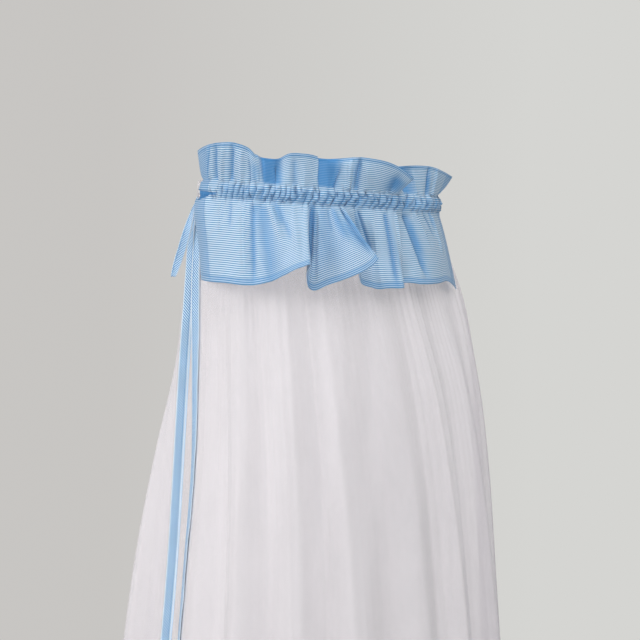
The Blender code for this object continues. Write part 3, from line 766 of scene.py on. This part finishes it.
def new_group(name, inputs, *outputs):
    """An empty shader group. Its inputs are numbers, by their usual value, or vectors, by None."""
    group = bpy.data.node_groups.new(name, "ShaderNodeTree")
    for socket, value in inputs.items():
        kind = "NodeSocketVector" if value is None else "NodeSocketFloat"
        made = group.interface.new_socket(name=socket, in_out="INPUT", socket_type=kind)
        if value is not None:
            made.default_value = value
    for socket in outputs:
        group.interface.new_socket(name=socket, in_out="OUTPUT", socket_type="NodeSocketFloat")
    return group, group.nodes.new("NodeGroupInput").outputs, group.nodes.new("NodeGroupOutput").inputs


def fill(tree, socket, value):
    """Sets a socket to a number or colour, or links another socket to it."""
    if isinstance(value, (int, float, tuple)):
        socket.default_value = value
    else:
        tree.links.new(value, socket)


def maths(tree, operation, first, second=None, third=None):
    """A Math node with each input a number or a socket."""
    node = tree.nodes.new("ShaderNodeMath")
    node.operation = operation
    for socket, value in zip(node.inputs, (first, second, third)):
        if value is not None:
            fill(tree, socket, value)
    return node.outputs[0]


def passed(tree, kind, value):
    """What a node of this kind gives out for a value."""
    node = tree.nodes.new("ShaderNode" + kind)
    tree.links.new(value, node.inputs[0])
    return node.outputs


def mix_colour(tree, factor, first, second):
    node = tree.nodes.new("ShaderNodeMix")
    node.data_type = "RGBA"
    for place, value in ((0, factor), (6, first), (7, second)):
        fill(tree, node.inputs[place], value)
    return node.outputs[2]


def make_stripe_group():
    """Woven stripes: how blue each place is, from a run of metres across the stripes."""
    group, given, result = new_group("woven stripe", {"Run": 0.0, "Pitch": 0.003, "Share": 0.5}, "Blue")
    turns = maths(group, "DIVIDE", given["Run"], given["Pitch"])
    part = maths(group, "FRACT", turns)
    middle = maths(group, "ABSOLUTE", maths(group, "SUBTRACT", part, 0.5))
    half = maths(group, "MULTIPLY", given["Share"], 0.5)
    inside = maths(group, "DIVIDE", maths(group, "SUBTRACT", half, middle), STRIPE_SOFTNESS)
    blue = passed(group, "Clamp", maths(group, "ADD", inside, 0.5))
    group.links.new(blue[0], result["Blue"])
    return group


def make_weave_group():
    """Crossing threads: a height for bump and how much each place is thread, from the flat cut."""
    group, given, result = new_group("crossing threads", {"Cut": None, "Pitch": 0.0004}, "Height", "Thread")
    scale = maths(group, "DIVIDE", 2.0 * math.pi, given["Pitch"])
    split = passed(group, "SeparateXYZ", given["Cut"])
    across = maths(group, "SINE", maths(group, "MULTIPLY", split[0], scale))
    along = maths(group, "SINE", maths(group, "MULTIPLY", split[1], scale))
    height = maths(group, "MULTIPLY", maths(group, "ADD", across, along), 0.25)
    group.links.new(maths(group, "ADD", height, 0.5), result["Height"])
    most = maths(group, "MAXIMUM", across, along)
    group.links.new(maths(group, "MULTIPLY_ADD", most, 0.5, 0.5), result["Thread"])
    return group


def make_stitch_group():
    """A run of stitches along one line: 1 on the thread of each stitch, 0 elsewhere."""
    inputs = {"Away": 0.0, "Along": 0.0, "Length": 0.0028, "Width": 0.0005}
    group, given, result = new_group("run of stitches", inputs, "Stitch", "Groove")
    away = maths(group, "ABSOLUTE", given["Away"])
    near = maths(group, "LESS_THAN", away, given["Width"])
    part = maths(group, "FRACT", maths(group, "DIVIDE", given["Along"], given["Length"]))
    dash = maths(group, "LESS_THAN", part, STITCH_SHARE)
    group.links.new(maths(group, "MULTIPLY", near, dash), result["Stitch"])
    wide = maths(group, "MULTIPLY", given["Width"], 2.2)
    groove = maths(group, "SUBTRACT", 1.0, maths(group, "DIVIDE", away, wide))
    group.links.new(passed(group, "Clamp", groove)[0], result["Groove"])
    return group


def make_tone_group():
    """Slow unevenness of a material's tone, about 1."""
    group, given, result = new_group("uneven tone", {"Where": None, "Size": 0.03, "Amount": 0.1}, "Tone")
    noise = group.nodes.new("ShaderNodeTexNoise")
    noise.inputs["Detail"].default_value = 3.0
    group.links.new(given["Where"], noise.inputs["Vector"])
    group.links.new(maths(group, "DIVIDE", 1.0, given["Size"]), noise.inputs["Scale"])
    swing = maths(group, "MULTIPLY", maths(group, "SUBTRACT", noise.outputs[0], 0.5), given["Amount"])
    group.links.new(maths(group, "MULTIPLY_ADD", swing, 2.0, 1.0), result["Tone"])
    return group


def placed(tree, group, **values):
    """A group node with its inputs set to numbers or sockets."""
    node = tree.nodes.new("ShaderNodeGroup")
    node.node_tree = group
    for name, value in values.items():
        fill(tree, node.inputs[name], value)
    return node.outputs


def start_material(name, **values):
    """A material, its tree and its shader, with the shader's own sockets set by their names."""
    material = bpy.data.materials.new(name)
    material.use_nodes = True
    tree = material.node_tree
    shader = tree.nodes["Principled BSDF"]
    for socket, value in values.items():
        shader.inputs[socket.replace("_", " ")].default_value = value
    return material, tree, shader


def cut_of(tree):
    """The piece's flat cut: the whole vector, and its metres across and along."""
    layer = tree.nodes.new("ShaderNodeUVMap")
    layer.uv_map = "cut"
    split = passed(tree, "SeparateXYZ", layer.outputs[0])
    return layer.outputs[0], split[0], split[1]


def mark_of(tree, name):
    """One of the marks that the piece carries at its points."""
    layer = tree.nodes.new("ShaderNodeAttribute")
    layer.attribute_name = name
    return layer.outputs["Fac"]


def scaled_colour(tree, colour, tone):
    node = tree.nodes.new("ShaderNodeVectorMath")
    node.operation = "SCALE"
    tree.links.new(colour, node.inputs[0])
    tree.links.new(tone, node.inputs["Scale"])
    return node.outputs[0]


WHITE_YARN = (0.595, 0.7, 0.79, 1.0)
BLUE_YARN = (0.085, 0.265, 0.475, 1.0)
TAPE_WHITE = (0.7, 0.88, 0.98, 1.0)
TAPE_BLUE = (0.01, 0.165, 0.45, 1.0)
# deep blue: the colour of the painted shade in folds, gathers and stitch grooves, of the hems and of the
# tape's stitch thread
DEEP_BLUE = (0.014, 0.2, 0.48, 1.0)
# near-black blue of the painted shade in creases
CREASE_SHADE_BLUE = (0.012, 0.075, 0.2, 1.0)
# the colour of the painted highlight along the tape's folds
PAINTED_FOLD_HIGHLIGHT = (0.72, 0.8, 0.86, 1.0)
STRIPE_PITCH = 0.00245
STRIPE_SHARE = 0.5
STRIPE_SOFTNESS = 0.07
STITCH_SHARE = 0.72
WEAVE_PITCH = 0.00042

COTTON = {"Roughness": 0.62, "Sheen_Weight": 0.25, "Sheen_Roughness": 0.4, "Specular_IOR_Level": 0.35}

# How far the hems' deeper blue and the painted shade of folds, gathers, creases and stitch grooves
# turn the stripes to their colours.
HOLLOW_SHADE_DEPTH = 0.68
HEM_DEPTH = 0.34
# painted shade along creases
CREASE_SHADE_DEPTH = 0.85
# painted shade in the stitch lines' grooves
GROOVE_SHADE_DEPTH = 0.55

# The header's hems: which way across the cut strip, from which line, on which side of it.
HEM_LINES = (
    ("across", NEAR_HEM, "LESS_THAN"),
    ("across", HEADER_LENGTH - SIDE_HEM, "GREATER_THAN"),
    ("along", STRIP_HEM + HEM_WIDTH, "LESS_THAN"),
    ("along", STRIP_TOP - FRILL_HEM, "GREATER_THAN"),
)

# Where the folds and stitches run along the cut tape, and how wide and strong the painted highlight along the
# folds is.
TAPE_FOLDS = (0.0064, 0.0172, 0.0221, 0.0329)
TAPE_STITCHES = (0.015, 0.0243)
TAPE_FOLD_HALF = 0.0009
TAPE_FOLD_HIGHLIGHT = 0.75
TAPE_STITCH_DEPTH = 0.7


def nearest_of(tree, value, lines):
    """How far a run of metres is from the nearest of these lines."""
    nearest = None
    for line in lines:
        away = maths(tree, "ABSOLUTE", maths(tree, "SUBTRACT", value, line))
        nearest = away if nearest is None else maths(tree, "MINIMUM", nearest, away)
    return nearest


def start_stripes(name, groups, run_of, *yarns):
    """A material with fine woven stripes of two yarns: its parts, to be finished."""
    material, tree, shader = start_material(name, **COTTON)
    cut, across, along = cut_of(tree)
    run = run_of(tree, across, along)
    blue = placed(tree, groups["stripe"], Run=run, Pitch=STRIPE_PITCH, Share=STRIPE_SHARE)["Blue"]
    colour = mix_colour(tree, blue, *yarns)
    return material, tree, shader, cut, across, along, colour


def finish_stripes(tree, shader, groups, cut, colour, relief):
    """Threads, slow unevenness of tone, and the cloth's surface."""
    weave = placed(tree, groups["weave"], Cut=cut, Pitch=WEAVE_PITCH)
    tone = placed(tree, groups["tone"], Where=cut, Size=0.035, Amount=0.1)["Tone"]
    thread = maths(tree, "MULTIPLY_ADD", weave["Thread"], 0.12, 0.9)
    colour = scaled_colour(tree, colour, maths(tree, "MULTIPLY", tone, thread))
    tree.links.new(colour, shader.inputs["Base Color"])
    bump = tree.nodes.new("ShaderNodeBump")
    bump.inputs["Strength"].default_value = 0.6
    bump.inputs["Distance"].default_value = 0.0002
    fill(tree, bump.inputs["Height"], maths(tree, "MULTIPLY_ADD", weave["Height"], 0.5, relief))
    tree.links.new(bump.outputs[0], shader.inputs["Normal"])


def header_cotton(groups):
    """Stripes along the strip, with its hems, their stitches, and painted shade in its folds, gathers, creases
    and grooves.
    """
    material, tree, shader, cut, across, along, colour = start_stripes(
        "striped_cotton_weave", groups, lambda tree, across, along: along, WHITE_YARN, BLUE_YARN
    )
    runs = {"across": across, "along": along}
    hem = 0.0
    seam = 1.0
    for direction, line, side in HEM_LINES:
        hem = maths(tree, "MAXIMUM", hem, maths(tree, side, runs[direction], line))
        seam = maths(tree, "MINIMUM", seam, nearest_of(tree, runs[direction], (line,)))
    stitches = placed(tree, groups["stitch"], Away=seam, Along=maths(tree, "ADD", across, along))
    # painted shade mixed into the stripes: deep blue in folds, gathers and the pocket, near-black blue along
    # creases, deep blue in the stitch grooves; the hems are deeper blue too
    for where, depth, tint in (
        (mark_of(tree, "hollow"), HOLLOW_SHADE_DEPTH, DEEP_BLUE),
        (hem, HEM_DEPTH, DEEP_BLUE),
        (mark_of(tree, "crease"), CREASE_SHADE_DEPTH, CREASE_SHADE_BLUE),
        (stitches["Groove"], GROOVE_SHADE_DEPTH, DEEP_BLUE),
    ):
        colour = mix_colour(tree, maths(tree, "MULTIPLY", where, depth), colour, tint)
    relief = maths(tree, "MULTIPLY_ADD", stitches["Groove"], -1.5, maths(tree, "MULTIPLY", hem, 1.2))
    finish_stripes(tree, shader, groups, cut, colour, relief)
    return material


def bias_tape(groups):
    """Stripes on the bias, with a painted highlight along its folds; its stitches run beside them."""

    def run_of(tree, across, along):
        return maths(tree, "MULTIPLY", maths(tree, "SUBTRACT", along, across), math.sqrt(0.5))

    material, tree, shader, cut, across, along, colour = start_stripes(
        "striped_tape_weave", groups, run_of, TAPE_WHITE, TAPE_BLUE
    )
    # painted highlight along each fold of the tape
    fold = maths(tree, "LESS_THAN", nearest_of(tree, across, TAPE_FOLDS), TAPE_FOLD_HALF)
    colour = mix_colour(tree, maths(tree, "MULTIPLY", fold, TAPE_FOLD_HIGHLIGHT), colour, PAINTED_FOLD_HIGHLIGHT)
    seam = nearest_of(tree, across, TAPE_STITCHES)
    stitches = placed(tree, groups["stitch"], Away=seam, Along=along)
    thread = maths(tree, "MULTIPLY", stitches["Stitch"], TAPE_STITCH_DEPTH)
    colour = mix_colour(tree, thread, colour, DEEP_BLUE)
    finish_stripes(tree, shader, groups, cut, colour, maths(tree, "MULTIPLY", stitches["Groove"], -1.0))
    return material


NET_COLOUR = (0.76, 0.725, 0.745, 1.0)
NET_SHADE = (0.7, 0.67, 0.69, 1.0)
NET_OPACITY = 0.32
NET_HEM_OPACITY = 0.55
NET_LETS_LIGHT = 0.6
NET_PITCH = 0.0011
NET_YARN = {"Roughness": 0.75, "Specular_IOR_Level": 0.2, "Sheen_Weight": 0.3}


def two_tones(tree, shader, groups, where, size, first, second):
    """A base colour that wanders slowly between two."""
    tone = placed(tree, groups["tone"], Where=where, Size=size, Amount=1.0)["Tone"]
    colour = mix_colour(tree, maths(tree, "MULTIPLY", tone, 0.5), first, second)
    tree.links.new(colour, shader.inputs["Base Color"])


def sheer_net(groups):
    """Very fine mesh: white yarn, mostly air, which also lets light on past its yarn."""
    material, tree, shader = start_material("sheer_net_yarn", **NET_YARN)
    cut = cut_of(tree)[0]
    weave = placed(tree, groups["weave"], Cut=cut, Pitch=NET_PITCH)
    two_tones(tree, shader, groups, cut, 0.05, NET_COLOUR, NET_SHADE)
    opacity = maths(tree, "MULTIPLY_ADD", mark_of(tree, "hem"), NET_HEM_OPACITY - NET_OPACITY, NET_OPACITY)
    yarn = maths(tree, "MULTIPLY_ADD", weave["Thread"], 0.5, 0.75)
    ray = tree.nodes.new("ShaderNodeLightPath")
    held = maths(tree, "MULTIPLY_ADD", ray.outputs["Is Shadow Ray"], -NET_LETS_LIGHT, 1.0)
    opacity = maths(tree, "MULTIPLY", opacity, yarn)
    tree.links.new(maths(tree, "MULTIPLY", opacity, held), shader.inputs["Alpha"])
    return material


def hoop_plastic(groups):
    """Satin white plastic with a faint unevenness from its moulding."""
    material, tree, shader = start_material("hoop_plastic", Roughness=0.42)
    where = tree.nodes.new("ShaderNodeTexCoord").outputs["Object"]
    two_tones(tree, shader, groups, where, 0.02, (0.87, 0.87, 0.86, 1.0), (0.84, 0.84, 0.83, 1.0))
    return material


# ------------ the canopy


groups = {
    "stripe": make_stripe_group(),
    "weave": make_weave_group(),
    "stitch": make_stitch_group(),
    "tone": make_tone_group(),
}
header_cloth = header_cotton(groups)
tape_cloth = bias_tape(groups)
net_cloth = sheer_net(groups)
hoop_finish = hoop_plastic(groups)
frame["nodes"]["hoop"].data.materials.clear()
frame["nodes"]["hoop"].data.materials.append(hoop_finish)

places, flat, marks = header_places()
header = cloth_sheet("striped_header", places, flat, HEADER_THICKNESS, header_cloth, marks)
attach(header, "root")
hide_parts("header_frill")

places, flat, marks = net_places()
net = cloth_sheet("sheer_net_drape", places, flat, NET_THICKNESS, net_cloth, marks)
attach(net, "root")
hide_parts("net")

for name, side, start in (("tape_near", "near", BINDING_START_NEAR), ("tape_far", "far", BINDING_START_FAR)):
    places, flat = binding_places(side, start)
    tape = cloth_sheet(name, places, flat, BINDING_THICKNESS, tape_cloth)
    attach(tape, "root")
    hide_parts("binding_" + side)

places, flat = tie_places()
tie = cloth_sheet("tie_tail", places, flat, TIE_THICKNESS, tape_cloth)
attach(tie, "root")
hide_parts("tie")

# ------------ stage, light and camera

WALL_LEFT = (0.575, 0.562, 0.545, 1.0)
WALL_RIGHT = (0.665, 0.665, 0.645, 1.0)
ROOM_LIGHT = (0.13, 0.145, 0.165, 1.0)
FLOOR_PLACE = (0.0, -0.14, -1.475)
LAMP_SIZE = (0.9, 1.2)
LAMP_TARGET = (0.0, -0.15, -0.05)

# The lamps round the canopy: how far each is turned from the front, how high, how far off and how strong.
LAMPS = (
    ("window_left", -80.0, 22.0, 2.3, 36.0, (1.0, 0.998, 1.0)),
    ("window_right", 80.0, 34.0, 1.5, 8.8, (1.0, 0.975, 0.94)),
    ("above", 14.0, 50.0, 1.4, 12.5, (0.985, 0.995, 1.0)),
    ("bounce_below", -8.0, -25.0, 2.3, 23.0, (1.0, 0.99, 0.985)),
)

# The photo's camera: its lens and sensor in millimetres, its place, and how far it looks down.
CAMERA_LENS = 93.77
CAMERA_SENSOR = 36.0
CAMERA_PLACE = (0.0034, -2.1405, 0.0)
CAMERA_DOWN = 4.237

deselect_all()
bpy.ops.mesh.primitive_circle_add(vertices=128, radius=2.6, fill_type="NGON", location=FLOOR_PLACE)
floor = bpy.context.active_object
floor.name = "studio_floor"
floor_paint, tree, shader = start_material("floor_paint", Base_Color=(0.72, 0.7, 0.67, 1.0), Roughness=0.8)
floor.data.materials.append(floor_paint)

world = bpy.data.worlds.new("studio")
bpy.context.scene.world = world
world.use_nodes = True
tree = world.node_tree
where = tree.nodes.new("ShaderNodeTexCoord")
split = passed(tree, "SeparateXYZ", where.outputs["Generated"])
clamp = passed(tree, "Clamp", maths(tree, "MULTIPLY_ADD", split[0], 4.0, 0.5))
wall = mix_colour(tree, clamp[0], WALL_LEFT, WALL_RIGHT)
seen = tree.nodes.new("ShaderNodeLightPath")
colour = mix_colour(tree, seen.outputs["Is Camera Ray"], ROOM_LIGHT, wall)
tree.links.new(colour, tree.nodes["Background"].inputs[0])
tree.nodes["Background"].inputs[1].default_value = 1.0


def soft_light(name, place, target, size, power, colour):
    """A soft rectangular lamp at this place, aimed at its target."""
    lamp = bpy.data.lights.new(name, "AREA")
    lamp.shape = "RECTANGLE"
    lamp.size, lamp.size_y = size
    lamp.energy = power
    lamp.color = colour
    light = bpy.data.objects.new(name, lamp)
    bpy.context.scene.collection.objects.link(light)
    light.location = place
    light.rotation_euler = (Vector(target) - Vector(place)).to_track_quat("-Z", "Y").to_euler()
    return light


for name, turn, rise, away, power, colour in LAMPS:
    level = away * math.cos(math.radians(rise))
    place = (
        level * math.sin(math.radians(turn)),
        LAMP_TARGET[1] - level * math.cos(math.radians(turn)),
        LAMP_TARGET[2] + away * math.sin(math.radians(rise)),
    )
    soft_light(name, place, LAMP_TARGET, LAMP_SIZE, power, colour)

# The daylight that the net lets through to its inner face on the left.
inside_size = (0.15, 0.66)
inside_from, inside_to = (0.02, -0.15, -0.48), (-0.3, -0.08, -0.48)
inside = soft_light("inside_left", inside_from, inside_to, inside_size, 0.62, (1.0, 0.99, 0.985))
inside.visible_camera = False

camera_data = bpy.data.cameras.new("photo_view")
camera_data.lens = CAMERA_LENS
camera_data.sensor_width = CAMERA_SENSOR
camera = bpy.data.objects.new("photo_view", camera_data)
bpy.context.scene.collection.objects.link(camera)
camera.location = CAMERA_PLACE
camera.rotation_euler = (math.radians(90.0 - CAMERA_DOWN), 0.0, 0.0)
bpy.context.scene.camera = camera
bpy.context.scene.view_settings.view_transform = "Standard"
